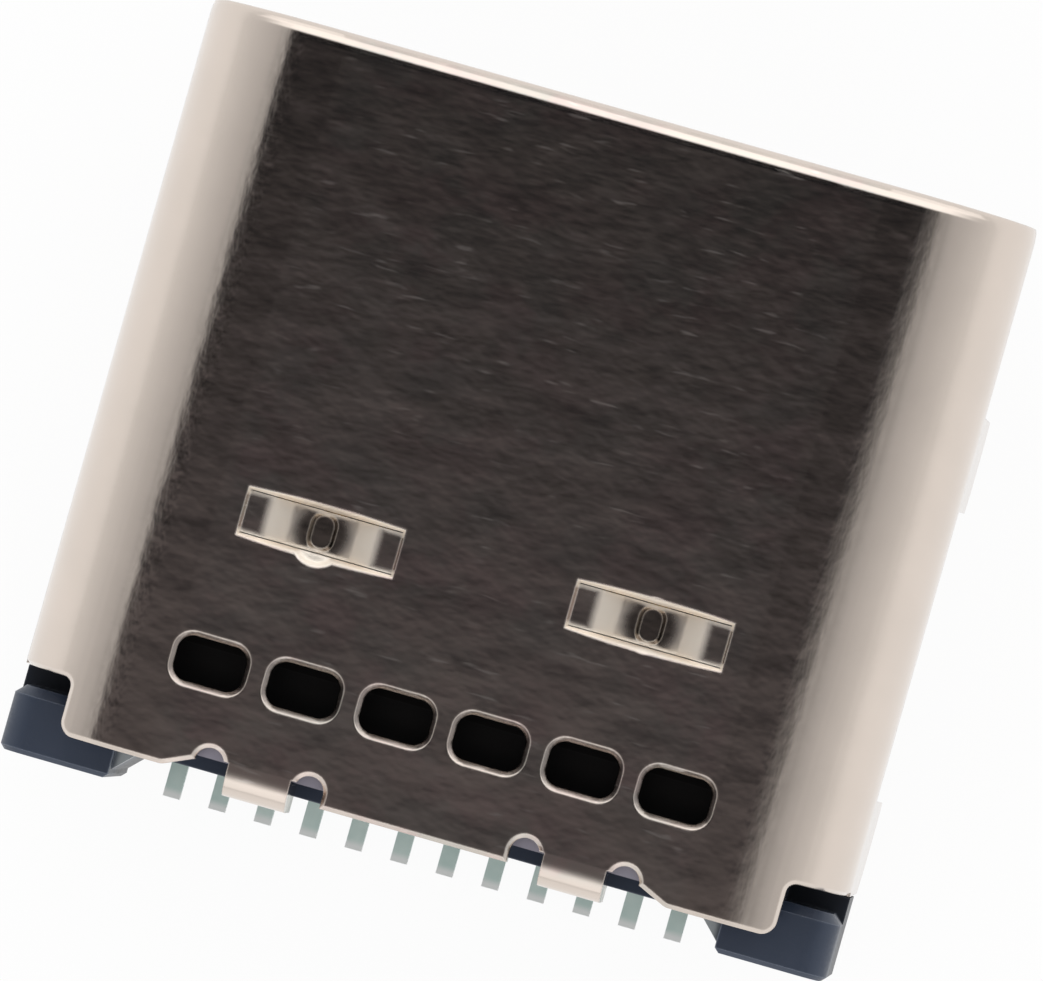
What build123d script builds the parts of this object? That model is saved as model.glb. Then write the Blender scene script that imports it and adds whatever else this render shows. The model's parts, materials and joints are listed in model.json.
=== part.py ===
from build123d import *
import math
import os

# 24-way USB-C socket for the top of a circuit board.
# Units are millimetres. +Z is up from the board, the mouth faces -Y, and X = 0 is the middle.
# The origin is on the board's surface, midway between the two locating pegs.

# Shell: folded steel sheet with full-round sides
SHELL_WIDTH = 8.94
SHELL_HEIGHT = 3.16
SHELL_LENGTH = 7.80
SHEET = 0.30
BOARD_GAP = 0.10
PEG_SETBACK = 1.50
RIM_RADIUS = 0.19
RIM_SIDE_INSET = 0.03
RIM_STEPS = 5
RIM_INNER_BREAK = 0.08
EDGE_BREAK = 0.045
FLOOR_SETBACK = 1.95
FLOOR_OPENING_INSET = 0.57
SEAM_GAP = 0.04
SEAM_KEY_FRONT = 1.70
SEAM_KEY_LENGTH = 1.60
SEAM_KEY_DEPTH = 0.75
SEAM_KEY_FLARE = 0.25

# Rear corners of the shell, cut away for the housing's corner blocks
CORNER_CUT_LENGTH = 0.59
CORNER_CUT_INSET = 0.62
CORNER_CUT_RADIUS = 0.10
CORNER_OUTER_RADIUS = 0.16

# Through-board stakes
STAKE_WIDTH = 1.00
STAKE_SPACING = 4.18
STAKE_REACH = 0.95
STAKE_RELIEF = 0.22
STAKE_ROOT_DROP = 0.45
STAKE_TIP_CHAMFER = 0.22

# Six inspection windows in the roof
WINDOW_COUNT = 6
WINDOW_PITCH = 1.00
WINDOW_WIDTH = 0.73
WINDOW_LENGTH = 0.475
WINDOW_RADIUS = 0.16
WINDOW_BREAK = 0.055
WINDOW_SETBACK = 1.13

# Two bridges pressed down into the mouth, each with a contact dimple
BRIDGE_SPACING = 3.53
BRIDGE_LENGTH = 1.63
BRIDGE_WIDTH = 0.46
BRIDGE_SETBACK = 2.75
BRIDGE_COIN = 0.07
BRIDGE_DROP = 0.16
BRIDGE_FLAT = 0.76
BRIDGE_RAMP = 0.24
BRIDGE_BEND = 0.07
BRIDGE_SLIT = 0.01
DIMPLE_LENGTH = 0.44
DIMPLE_WIDTH = 0.30
DIMPLE_DEPTH = 0.05
PRESS_TAPER = 45

# The roof's edge is drawn down round each bridge, most behind the middle of the left one
DRAW_DEPTH = 0.07
DRAW_EDGE = 0.03
DRAW_BOW = 0.03
DRAW_BULGE_RADIUS = 0.30
DRAW_BULGE_RIGHT = 0.07
DRAW_BULGE_LEFT = 0.14

# Rear tabs folded down over the housing, with a half-round relief on each side
TAB_SPACING = 3.39
TAB_WIDTH = 0.76
TAB_OVERHANG = 0.15
TAB_DROP = 1.05
TAB_SIDE_STEP = 0.045
TAB_BEND_INNER = 0.05
RELIEF_RADIUS = 0.155
RELIEF_DEPTH = 0.30
RELIEF_FLARE = 0.32

# Contacts
POSITIONS = 12
BLADE_WIDTH = 0.25
TAIL_WIDTH = 0.18
CONTACT_SHEET = 0.12
CONTACT_CORNER = 0.12
LONG_CONTACTS = (1, 4, 9, 12)
LONG_SETBACK = 0.55
SHORT_SETBACK = 1.15
BLADE_EMBED = 0.20
UPPER_LEG_SETBACK = 0.44
UPPER_FOOT_LENGTH = 0.84
LOWER_LEG_SETBACK = 1.14
LOWER_FOOT_LENGTH = 0.42
TIP_CHAMFER = 0.05

# Tongue
TONGUE_SIDE_ROOM = 0.825
TONGUE_THICKNESS = 0.70
TONGUE_TIP = 0.75
NOSE_LENGTH = 0.30
NOSE_CORNER = 0.40
NOSE_BEVEL = 0.14
NOSE_SLOPE = 0.26
RAIL_WIDTH = 0.415
WAFER_EDGE = 0.055
CAVITY_SETBACK = 1.60
ROOT_LENGTH = 1.00
ROOT_STEP_SIDE = 0.055
ROOT_STEP = 0.13

# Mid plate with its two latch notches
PLATE_SHEET = 0.15
PLATE_SETBACK = 0.75
LATCH_START = 2.05
LATCH_LENGTH = 1.15
LATCH_DEPTH = 0.30
LATCH_RADIUS = 0.12

# Ground collar round the tongue's root
COLLAR_SHEET = 0.12
COLLAR_SETBACK = 0.06
COLLAR_CORNER = 0.22
FLANGE_LIP = 0.30

# Housing
FIT = 0.02
BLOCK_SETBACK = 0.18
LEDGE_SETBACK = 0.02
LEDGE_TOP = 2.10
BASE_SIDE_ROOM = 0.10
BASE_TOP = 1.00
BASE_SETBACK = 0.08
SLOT_HEIGHT = 0.35
SLOT_MARGIN = 0.30
WELL_MARGIN = 0.06
WAFER_BACK_TOP = 2.40
LEG_WALL_FRONT = 0.20
LEG_WALL_REAR = 0.18
LOWER_WALL_REAR = 0.24
CORNER_BLOCK_WIDTH = 1.19
CORNER_BLOCK_SETBACK = 0.38
CORNER_BLOCK_OVERHANG = 0.33
CORNER_BLOCK_TOP = 2.30
CORNER_BLOCK_RADIUS = 0.30
CORNER_BLOCK_CHAMFER = 0.10
CORNER_BLOCK_BREAK = 0.05
CORNER_WEB = 0.25
NECK_TOP = 1.30
PEG_INSET = 1.12
PEG_RADIUS = 0.275
PEG_REACH = 0.75
PEG_CHAMFER = 0.12

# Levels and fits worked out from the sizes above
MID_Z = BOARD_GAP + SHELL_HEIGHT / 2
ROOF = BOARD_GAP + SHELL_HEIGHT
HALF_WIDTH = SHELL_WIDTH / 2
INNER_WIDTH = SHELL_WIDTH - 2 * SHEET
INNER_HEIGHT = SHELL_HEIGHT - 2 * SHEET
TONGUE_TOP = MID_Z + TONGUE_THICKNESS / 2
TONGUE_BOTTOM = MID_Z - TONGUE_THICKNESS / 2
PLATE_TOP = MID_Z + PLATE_SHEET / 2
PLATE_BOTTOM = MID_Z - PLATE_SHEET / 2
MOUTH_TO_PEGS = SHELL_LENGTH - PEG_SETBACK
FLOOR_LENGTH = SHELL_LENGTH - FLOOR_SETBACK
FLOOR_OPENING_WIDTH = SHELL_WIDTH - 2 * FLOOR_OPENING_INSET
CORNER_CUT_START = SHELL_LENGTH - CORNER_CUT_LENGTH
CORNER_CUT_HALF = HALF_WIDTH - CORNER_CUT_INSET
STAKE_REAR_CENTRE = CORNER_CUT_START - STAKE_WIDTH / 2
STAKE_FRONT_CENTRE = STAKE_REAR_CENTRE - STAKE_SPACING
WINDOW_CENTRE = SHELL_LENGTH - WINDOW_SETBACK
BRIDGE_CENTRE = SHELL_LENGTH - BRIDGE_SETBACK
TAB_REACH = SHELL_LENGTH + TAB_OVERHANG
TAB_BEND_START = TAB_REACH - SHEET - TAB_BEND_INNER
TONGUE_WIDTH = INNER_WIDTH - 2 * TONGUE_SIDE_ROOM
NOSE_END = TONGUE_TIP + NOSE_LENGTH
WAFER_WIDTH = TONGUE_WIDTH - 2 * RAIL_WIDTH
PITCH = (WAFER_WIDTH - 2 * WAFER_EDGE - BLADE_WIDTH) / (POSITIONS - 1)
CAVITY_DEPTH = SHELL_LENGTH - CAVITY_SETBACK
ROOT_START = CAVITY_DEPTH - ROOT_LENGTH
ROOT_WIDTH = TONGUE_WIDTH + 2 * ROOT_STEP_SIDE
ROOT_THICKNESS = TONGUE_THICKNESS + 2 * ROOT_STEP
BLADE_END = CAVITY_DEPTH + BLADE_EMBED
UPPER_LEG = SHELL_LENGTH - UPPER_LEG_SETBACK
UPPER_FOOT_END = UPPER_LEG + UPPER_FOOT_LENGTH
LOWER_LEG = SHELL_LENGTH - LOWER_LEG_SETBACK
LOWER_FOOT_END = LOWER_LEG + LOWER_FOOT_LENGTH
PLATE_END = SHELL_LENGTH - PLATE_SETBACK
BLOCK_END = SHELL_LENGTH - BLOCK_SETBACK
LEDGE_END = SHELL_LENGTH - LEDGE_SETBACK
BASE_WIDTH = FLOOR_OPENING_WIDTH - 2 * BASE_SIDE_ROOM
CORNER_BLOCK_INNER = HALF_WIDTH - CORNER_BLOCK_WIDTH
CORNER_BLOCK_FRONT = SHELL_LENGTH - CORNER_BLOCK_SETBACK
CORNER_BLOCK_END = SHELL_LENGTH + CORNER_BLOCK_OVERHANG
PEG_SPACING = SHELL_WIDTH - 2 * PEG_INSET
UPPER_BLADE_Z = TONGUE_TOP - CONTACT_SHEET / 2
LOWER_BLADE_Z = TONGUE_BOTTOM + CONTACT_SHEET / 2
UPPER_BLOCK_FRONT = BLADE_END + CONTACT_SHEET
UPPER_LEG_FRONT = UPPER_LEG - LEG_WALL_FRONT
UPPER_LEG_REAR = UPPER_LEG + LEG_WALL_REAR
LOWER_BLOCK_REAR = LOWER_LEG + LOWER_WALL_REAR


def behind(distance):
    """Y of a point this far behind the mouth's rim."""
    return distance - MOUTH_TO_PEGS


def across(distance):
    """Upright plane this far behind the rim, facing the mouth; its sketch axes are X and Z."""
    return Plane.XZ.offset(-behind(distance))


def contact_x(position, mirrored=False):
    """X of a contact; the lower row counts from the other side."""
    x = (position - (POSITIONS + 1) / 2) * PITCH
    return -x if mirrored else x


def contact_tip(position):
    """Where a contact's blade starts: ground and supply contacts reach further forward."""
    return TONGUE_TIP + (LONG_SETBACK if position in LONG_CONTACTS else SHORT_SETBACK)


def make_contact(name, x, tip, blade_z, leg, foot_end, outside):
    """One stamped strip with blunt bends: blade on the tongue, leg, and solder foot."""
    foot_z = CONTACT_SHEET / 2
    with BuildPart() as contact:
        with BuildSketch(Plane.YZ.offset(x)):
            with BuildLine():
                Polyline((behind(tip), blade_z), (behind(BLADE_END), blade_z))
            trace(line_width=CONTACT_SHEET)
        extrude(amount=BLADE_WIDTH / 2, both=True)
        blade_tip = contact.edges().filter_by(Axis.X).group_by(Axis.Y)[0]
        chamfer(blade_tip.sort_by(Axis.Z)[-1 if outside > 0 else 0], TIP_CHAMFER)
        with BuildSketch(Plane.YZ.offset(x)):
            with BuildLine():
                Polyline(
                    (behind(BLADE_END), blade_z),
                    (behind(leg) - CONTACT_CORNER, blade_z),
                    (behind(leg), blade_z - CONTACT_CORNER),
                    (behind(leg), foot_z + CONTACT_CORNER),
                    (behind(leg) + CONTACT_CORNER, foot_z),
                    (behind(foot_end), foot_z),
                )
            trace(line_width=CONTACT_SHEET)
        extrude(amount=TAIL_WIDTH / 2, both=True)
    contact.part.label = name
    return contact.part


def cut_contact_channels(mirrored, blade_z, leg):
    """Channels in a wafer: a shallow one for each blade, and one along each corner and leg."""
    floor = Plane.XY.offset(blade_z - CONTACT_SHEET / 2)
    leg_rear = leg + CONTACT_SHEET / 2
    with BuildSketch(floor) as channels:
        for position in range(1, POSITIONS + 1):
            x = contact_x(position, mirrored)
            tip = contact_tip(position)
            with Locations((x, behind((tip + BLADE_END) / 2))):
                Rectangle(BLADE_WIDTH, BLADE_END - tip)
            with Locations((x, behind((BLADE_END + leg_rear) / 2))):
                Rectangle(TAIL_WIDTH, leg_rear - BLADE_END)
    extrude(channels.sketch, amount=CONTACT_SHEET, mode=Mode.SUBTRACT)
    with BuildSketch(Plane.XY) as shafts:
        with Locations((0, behind(leg))):
            with GridLocations(PITCH, 0, POSITIONS, 1):
                Rectangle(TAIL_WIDTH, CONTACT_SHEET)
    extrude(shafts.sketch, amount=blade_z, mode=Mode.SUBTRACT)
    corner_drop = blade_z - CONTACT_SHEET / 2 - CONTACT_CORNER
    with BuildSketch(Plane.XY.offset(corner_drop)) as corner_reliefs:
        with Locations((0, behind(leg) - (CONTACT_SHEET + CONTACT_CORNER) / 2)):
            with GridLocations(PITCH, 0, POSITIONS, 1):
                Rectangle(TAIL_WIDTH, CONTACT_CORNER)
    extrude(corner_reliefs.sketch, amount=CONTACT_CORNER, mode=Mode.SUBTRACT)


def draw_upper_wafer():
    """Side outline of the upper wafer: tongue plate, rear block, and leg round the tails."""
    with BuildLine() as outline:
        Polyline(
            (behind(NOSE_END), PLATE_TOP),
            (behind(NOSE_END), TONGUE_TOP),
            (behind(UPPER_BLOCK_FRONT), TONGUE_TOP),
            (behind(UPPER_BLOCK_FRONT), WAFER_BACK_TOP),
            (behind(UPPER_LEG_REAR), WAFER_BACK_TOP),
            (behind(UPPER_LEG_REAR), SLOT_HEIGHT),
            (behind(UPPER_LEG_FRONT), SLOT_HEIGHT),
            (behind(UPPER_LEG_FRONT), PLATE_TOP),
            close=True,
        )
    make_face(outline.edges())


def draw_lower_wafer():
    """Side outline of the lower wafer: tongue plate and the block round the inner tails."""
    with BuildLine() as outline:
        Polyline(
            (behind(NOSE_END), PLATE_BOTTOM),
            (behind(NOSE_END), TONGUE_BOTTOM),
            (behind(CAVITY_DEPTH), TONGUE_BOTTOM),
            (behind(CAVITY_DEPTH), BASE_TOP),
            (behind(BLADE_END), BASE_TOP),
            (behind(BLADE_END), SLOT_HEIGHT),
            (behind(LOWER_BLOCK_REAR), SLOT_HEIGHT),
            (behind(LOWER_BLOCK_REAR), PLATE_BOTTOM),
            close=True,
        )
    make_face(outline.edges())


def draw_mid_plate():
    """Plan of the mid plate: tongue width, blunt front corners and a latch notch each side."""
    half = TONGUE_WIDTH / 2
    notch_half = half - LATCH_DEPTH
    front = behind(NOSE_END)
    rear = behind(PLATE_END)
    notch_front = behind(LATCH_START)
    notch_rear = behind(LATCH_START + LATCH_LENGTH)
    with BuildLine() as outline:
        Line((half, front), (half, notch_front))
        FilletPolyline(
            (half, notch_front),
            (notch_half, notch_front),
            (notch_half, notch_rear),
            (half, notch_rear),
            radius=LATCH_RADIUS,
        )
        Line((half, notch_rear), (half, rear))
        mirror(outline.edges(), about=Plane.YZ)
        Line((-half, front), (half, front))
        Line((-half, rear), (half, rear))
    make_face(outline.edges())


def roof_edges(part, front, rear):
    """Edges on the roof's upper face whose middles lie between two distances behind the rim."""
    return part.edges().filter_by(
        lambda e: e.center().Z > ROOF - FIT and behind(front) < e.center().Y < behind(rear)
    )


os.makedirs("parts", exist_ok=True)

# Upper row: contact A1 is on the left when looking into the mouth
upper_contacts = []
for position in range(1, POSITIONS + 1):
    contact_a = make_contact(
        f"contact_a{position:02d}",
        contact_x(position),
        contact_tip(position),
        UPPER_BLADE_Z,
        UPPER_LEG,
        UPPER_FOOT_END,
        outside=1,
    )
    upper_contacts.append(contact_a)

# Lower row: contact B1 is on the right
lower_contacts = []
for position in range(1, POSITIONS + 1):
    contact_b = make_contact(
        f"contact_b{position:02d}",
        contact_x(position, mirrored=True),
        contact_tip(position),
        LOWER_BLADE_Z,
        LOWER_LEG,
        LOWER_FOOT_END,
        outside=-1,
    )
    lower_contacts.append(contact_b)

# Upper wafer
with BuildPart() as upper_wafer:
    with BuildSketch(Plane.YZ):
        draw_upper_wafer()
    extrude(amount=WAFER_WIDTH / 2, both=True)
    cut_contact_channels(False, UPPER_BLADE_Z, UPPER_LEG)
upper_wafer.part.label = "upper_wafer"

# Lower wafer
with BuildPart() as lower_wafer:
    with BuildSketch(Plane.YZ):
        draw_lower_wafer()
    extrude(amount=WAFER_WIDTH / 2, both=True)
    cut_contact_channels(True, LOWER_BLADE_Z, LOWER_LEG)
lower_wafer.part.label = "lower_wafer"

# Mid plate
with BuildPart() as mid_plate:
    with BuildSketch(Plane.XY.offset(PLATE_BOTTOM)):
        draw_mid_plate()
    extrude(amount=PLATE_SHEET)
mid_plate.part.label = "mid_plate"

# Ground collar: a ring round the root with a flange against the back of the mouth
with BuildPart() as ground_collar:
    collar_width = ROOT_WIDTH + 2 * COLLAR_SHEET
    collar_height = ROOT_THICKNESS + 2 * COLLAR_SHEET
    with BuildSketch(across(ROOT_START + COLLAR_SETBACK)):
        with Locations((0, MID_Z)):
            RectangleRounded(collar_width, collar_height, COLLAR_CORNER)
    extrude(amount=-(CAVITY_DEPTH - ROOT_START - COLLAR_SETBACK))
    with BuildSketch(across(CAVITY_DEPTH - COLLAR_SHEET)):
        with Locations((0, MID_Z)):
            RectangleRounded(
                collar_width + 2 * FLANGE_LIP,
                collar_height + 2 * FLANGE_LIP,
                COLLAR_CORNER + FLANGE_LIP,
            )
    extrude(amount=-COLLAR_SHEET)
    with BuildSketch(across(ROOT_START)):
        with Locations((0, MID_Z)):
            Rectangle(ROOT_WIDTH, ROOT_THICKNESS)
    extrude(amount=-(CAVITY_DEPTH - ROOT_START), mode=Mode.SUBTRACT)
ground_collar.part.label = "ground_collar"

# Housing: one moulding round the wafers, with the tongue's nose and side rails
with BuildPart() as housing:
    # Tongue: wedge-nosed side outline, met by a plan with rounded front corners
    with BuildSketch(Plane.YZ):
        with BuildLine():
            Polyline(
                (behind(CAVITY_DEPTH), TONGUE_BOTTOM),
                (behind(TONGUE_TIP + NOSE_SLOPE), TONGUE_BOTTOM),
                (behind(TONGUE_TIP), TONGUE_BOTTOM + NOSE_BEVEL),
                (behind(TONGUE_TIP), TONGUE_TOP - NOSE_BEVEL),
                (behind(TONGUE_TIP + NOSE_SLOPE), TONGUE_TOP),
                (behind(CAVITY_DEPTH), TONGUE_TOP),
                close=True,
            )
        make_face()
    extrude(amount=TONGUE_WIDTH / 2, both=True)
    with BuildSketch(Plane.XY.offset(TONGUE_BOTTOM)) as tongue_plan:
        with Locations((0, behind((TONGUE_TIP + CAVITY_DEPTH) / 2))):
            Rectangle(TONGUE_WIDTH, CAVITY_DEPTH - TONGUE_TIP)
        fillet(tongue_plan.vertices().group_by(Axis.Y)[0], NOSE_CORNER)
    extrude(amount=TONGUE_THICKNESS, mode=Mode.INTERSECT)
    with BuildSketch(across(ROOT_START)):
        with Locations((0, MID_Z)):
            Rectangle(ROOT_WIDTH, ROOT_THICKNESS)
    extrude(amount=-(CAVITY_DEPTH - ROOT_START))
    # Block that fills the shell behind the mouth
    with BuildSketch(across(CAVITY_DEPTH)):
        with Locations((0, MID_Z)):
            SlotOverall(INNER_WIDTH - 2 * FIT, INNER_HEIGHT - 2 * FIT)
    extrude(amount=-(BLOCK_END - CAVITY_DEPTH))
    # Pockets at the block's rear corners, and the low necks that run on to the corner blocks
    neck_inner = CORNER_CUT_HALF - FIT
    neck_x = (HALF_WIDTH + neck_inner) / 2
    neck_front = CORNER_CUT_START + FIT
    with BuildSketch(Plane.XY.offset(ROOF)):
        with Locations((-neck_x, 0), (neck_x, 0)):
            with Locations((0, behind((CORNER_CUT_START + BLOCK_END) / 2))):
                Rectangle(HALF_WIDTH - neck_inner, BLOCK_END - CORNER_CUT_START)
    extrude(amount=NECK_TOP - ROOF, mode=Mode.SUBTRACT)
    with BuildSketch(Plane.XY):
        with Locations((-neck_x, 0), (neck_x, 0)):
            with Locations((0, behind((neck_front + CORNER_BLOCK_FRONT) / 2))):
                Rectangle(HALF_WIDTH - neck_inner, CORNER_BLOCK_FRONT - neck_front)
    extrude(amount=NECK_TOP)
    # Base that stands on the board behind the shell's floor
    base_front = FLOOR_LENGTH + BASE_SETBACK
    with BuildSketch(Plane.XY):
        with Locations((0, behind((CAVITY_DEPTH + LEDGE_END) / 2))):
            Rectangle(BASE_WIDTH, LEDGE_END - CAVITY_DEPTH)
    extrude(amount=BASE_TOP)
    with BuildSketch(Plane.XY):
        with Locations((0, behind((base_front + CAVITY_DEPTH) / 2))):
            Rectangle(BASE_WIDTH, CAVITY_DEPTH - base_front)
    extrude(amount=BOARD_GAP + SHEET)
    # Lower ledge below the folded tabs
    with BuildSketch(across(BLOCK_END)):
        with Locations((0, LEDGE_TOP / 2)):
            Rectangle(2 * CORNER_BLOCK_INNER, LEDGE_TOP)
    extrude(amount=-(LEDGE_END - BLOCK_END))
    # Corner blocks that stand out behind the shell
    with BuildSketch(across(CORNER_BLOCK_FRONT)) as corner_ends:
        for side in (-1, 1):
            block_centre = side * (HALF_WIDTH + CORNER_BLOCK_INNER) / 2
            with Locations((block_centre, CORNER_BLOCK_TOP / 2)):
                Rectangle(HALF_WIDTH - CORNER_BLOCK_INNER, CORNER_BLOCK_TOP)
        tops = corner_ends.vertices().group_by(Axis.Y)[-1].sort_by(Axis.X)
        fillet([tops[0], tops[-1]], CORNER_BLOCK_RADIUS)
    extrude(amount=-(CORNER_BLOCK_END - CORNER_BLOCK_FRONT))
    web_edges = (
        housing.edges()
        .filter_by(Axis.Z)
        .filter_by_position(Axis.Y, behind(LEDGE_END) - FIT, behind(LEDGE_END) + FIT)
        .filter_by_position(Axis.X, -CORNER_BLOCK_INNER - FIT, CORNER_BLOCK_INNER + FIT)
    )
    chamfer(web_edges, CORNER_WEB)
    ridge_edges = (
        housing.edges()
        .filter_by(Axis.X)
        .filter_by_position(Axis.Y, behind(CORNER_BLOCK_FRONT) - FIT, behind(CORNER_BLOCK_FRONT) + FIT)
        .filter_by_position(Axis.Z, CORNER_BLOCK_TOP - FIT, CORNER_BLOCK_TOP + FIT)
    )
    chamfer(ridge_edges, CORNER_BLOCK_CHAMFER)
    rear_edges = housing.edges().filter_by(
        lambda e: e.center().Y > behind(CORNER_BLOCK_END) - FIT and e.center().Z > FIT
    )
    chamfer(rear_edges, CORNER_BLOCK_BREAK)
    # Locating pegs
    with BuildSketch(Plane.XY):
        with Locations((-PEG_SPACING / 2, 0), (PEG_SPACING / 2, 0)):
            Circle(PEG_RADIUS)
    extrude(amount=-PEG_REACH)
    chamfer(housing.faces().group_by(Axis.Z)[0].edges(), PEG_CHAMFER)
    # Room for the wafers, the mid plate and its latch notches
    with BuildSketch(Plane.YZ):
        draw_upper_wafer()
    extrude(amount=WAFER_WIDTH / 2, both=True, mode=Mode.SUBTRACT)
    with BuildSketch(Plane.YZ):
        draw_lower_wafer()
    extrude(amount=WAFER_WIDTH / 2, both=True, mode=Mode.SUBTRACT)
    with BuildSketch(Plane.XY.offset(PLATE_BOTTOM)):
        with Locations((0, behind((NOSE_END + PLATE_END) / 2))):
            Rectangle(TONGUE_WIDTH, PLATE_END - NOSE_END)
    extrude(amount=PLATE_SHEET, mode=Mode.SUBTRACT)
    with BuildSketch(Plane.XY.offset(TONGUE_BOTTOM)):
        for side in (-1, 1):
            latch_x = side * (TONGUE_WIDTH - LATCH_DEPTH) / 2
            with Locations((latch_x, behind(LATCH_START + LATCH_LENGTH / 2))):
                Rectangle(LATCH_DEPTH, LATCH_LENGTH)
    extrude(amount=TONGUE_THICKNESS, mode=Mode.SUBTRACT)
    # Open slot under the base for both rows of solder feet
    slot_front = BLADE_END
    slot_width = (POSITIONS - 1) * PITCH + TAIL_WIDTH + 2 * SLOT_MARGIN
    with BuildSketch(Plane.XY):
        with Locations((0, behind((slot_front + LEDGE_END) / 2))):
            Rectangle(slot_width, LEDGE_END - slot_front)
    extrude(amount=SLOT_HEIGHT, mode=Mode.SUBTRACT)
    # Wells under the shell's windows
    with BuildSketch(Plane.XY.offset(WAFER_BACK_TOP)):
        with Locations((0, behind(WINDOW_CENTRE))):
            with GridLocations(WINDOW_PITCH, 0, WINDOW_COUNT, 1):
                Rectangle(WINDOW_WIDTH + 2 * WELL_MARGIN, WINDOW_LENGTH + 2 * WELL_MARGIN)
    extrude(amount=ROOF - WAFER_BACK_TOP, mode=Mode.SUBTRACT)
housing.part.label = "housing"

# Shell
with BuildPart() as shell:
    # Rolled front rim, which fades towards the widest line of the sides
    for step in range(RIM_STEPS + 1):
        turn = math.radians(90 * step / RIM_STEPS)
        inset = 1 - math.cos(turn)
        with BuildSketch(across(RIM_RADIUS * (1 - math.sin(turn)))):
            with Locations((0, MID_Z)):
                rim_width = SHELL_WIDTH - 2 * RIM_SIDE_INSET * inset
                SlotOverall(rim_width, SHELL_HEIGHT - 2 * RIM_RADIUS * inset)
    loft(ruled=True)
    # Full-round tube behind the rim
    with BuildSketch(across(RIM_RADIUS)):
        with Locations((0, MID_Z)):
            SlotOverall(SHELL_WIDTH, SHELL_HEIGHT)
    extrude(amount=-(SHELL_LENGTH - RIM_RADIUS))
    with BuildSketch(across(0)):
        with Locations((0, MID_Z)):
            SlotOverall(INNER_WIDTH, INNER_HEIGHT)
    extrude(amount=-SHELL_LENGTH, mode=Mode.SUBTRACT)
    chamfer(shell.faces().sort_by(Axis.Y)[0].inner_wires()[0].edges(), RIM_INNER_BREAK)
    # Floor opening at the rear, where the housing's base stands on the board
    with BuildSketch(Plane.XY):
        with Locations((0, behind((FLOOR_LENGTH + SHELL_LENGTH) / 2))):
            Rectangle(FLOOR_OPENING_WIDTH, SHELL_LENGTH - FLOOR_LENGTH)
    extrude(amount=MID_Z, mode=Mode.SUBTRACT)
    # Rear outline: cut-away corners and a relief on each side of each tab
    with BuildSketch(Plane.XY) as rear_cut:
        with Locations((0, behind((CORNER_CUT_START + SHELL_LENGTH + SHEET) / 2))):
            Rectangle(SHELL_WIDTH + SHEET, SHELL_LENGTH + SHEET - CORNER_CUT_START)
        with Locations((0, behind((CORNER_CUT_START + SHELL_LENGTH) / 2))):
            Rectangle(2 * CORNER_CUT_HALF, SHELL_LENGTH - CORNER_CUT_START, mode=Mode.SUBTRACT)
        inner_corners = rear_cut.vertices().filter_by(
            lambda v: abs(abs(v.X) - CORNER_CUT_HALF) < FIT and v.Y < behind(SHELL_LENGTH) - FIT
        )
        fillet(inner_corners, CORNER_CUT_RADIUS)
        outer_corners = rear_cut.vertices().filter_by(
            lambda v: abs(abs(v.X) - CORNER_CUT_HALF) < FIT and abs(v.Y - behind(SHELL_LENGTH)) < FIT
        )
        fillet(outer_corners, CORNER_OUTER_RADIUS)
        relief_centre = SHELL_LENGTH - RELIEF_DEPTH + RELIEF_RADIUS
        relief_step = TAB_WIDTH / 2 + RELIEF_RADIUS
        for tab_x in (-TAB_SPACING / 2, TAB_SPACING / 2):
            with Locations((tab_x - relief_step, 0), (tab_x + relief_step, 0)):
                with Locations((0, behind(relief_centre))):
                    Circle(RELIEF_RADIUS)
                with Locations((0, behind((relief_centre + SHELL_LENGTH) / 2))):
                    Rectangle(2 * RELIEF_RADIUS, SHELL_LENGTH - relief_centre)
        # The outer flank of each outer relief runs out into the rear edge in a slope
        flare_x = TAB_SPACING / 2 + relief_step + RELIEF_RADIUS
        for side in (-1, 1):
            with BuildLine():
                Polyline(
                    (side * (flare_x - RELIEF_RADIUS), behind(relief_centre)),
                    (side * flare_x, behind(relief_centre)),
                    (side * (flare_x + RELIEF_FLARE), behind(SHELL_LENGTH)),
                    (side * (flare_x - RELIEF_RADIUS), behind(SHELL_LENGTH)),
                    close=True,
                )
            make_face()
        flares = rear_cut.vertices().filter_by(
            lambda v: abs(abs(v.X) - flare_x - RELIEF_FLARE) < FIT and abs(v.Y - behind(SHELL_LENGTH)) < FIT
        )
        fillet(flares, RELIEF_FLARE / 2)
        with Locations((-TAB_SPACING / 2, 0), (TAB_SPACING / 2, 0)):
            with Locations((0, behind((TAB_BEND_START + SHELL_LENGTH) / 2))):
                Rectangle(TAB_WIDTH + 2 * TAB_SIDE_STEP, SHELL_LENGTH - TAB_BEND_START)
    extrude(amount=ROOF, mode=Mode.SUBTRACT)
    # Every edge but the two straight lines that the tabs bend from
    rear_edges = roof_edges(shell, SHELL_LENGTH - RELIEF_DEPTH - FIT, SHELL_LENGTH + FIT).filter_by(
        lambda e: e.geom_type == GeomType.CIRCLE or e.center().Y > behind(TAB_BEND_START) + FIT
    )
    chamfer(rear_edges, EDGE_BREAK)
    # Tabs folded down over the housing's upper rear edge
    for tab_x in (-TAB_SPACING / 2, TAB_SPACING / 2):
        with BuildSketch(Plane.YZ.offset(tab_x)):
            with BuildLine():
                FilletPolyline(
                    (behind(TAB_BEND_START) - SHEET, ROOF - SHEET / 2),
                    (behind(TAB_REACH) - SHEET / 2, ROOF - SHEET / 2),
                    (behind(TAB_REACH) - SHEET / 2, ROOF - TAB_DROP),
                    radius=TAB_BEND_INNER + SHEET / 2,
                )
            trace(line_width=SHEET)
        extrude(amount=TAB_WIDTH / 2 - TAB_SIDE_STEP, both=True)
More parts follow.
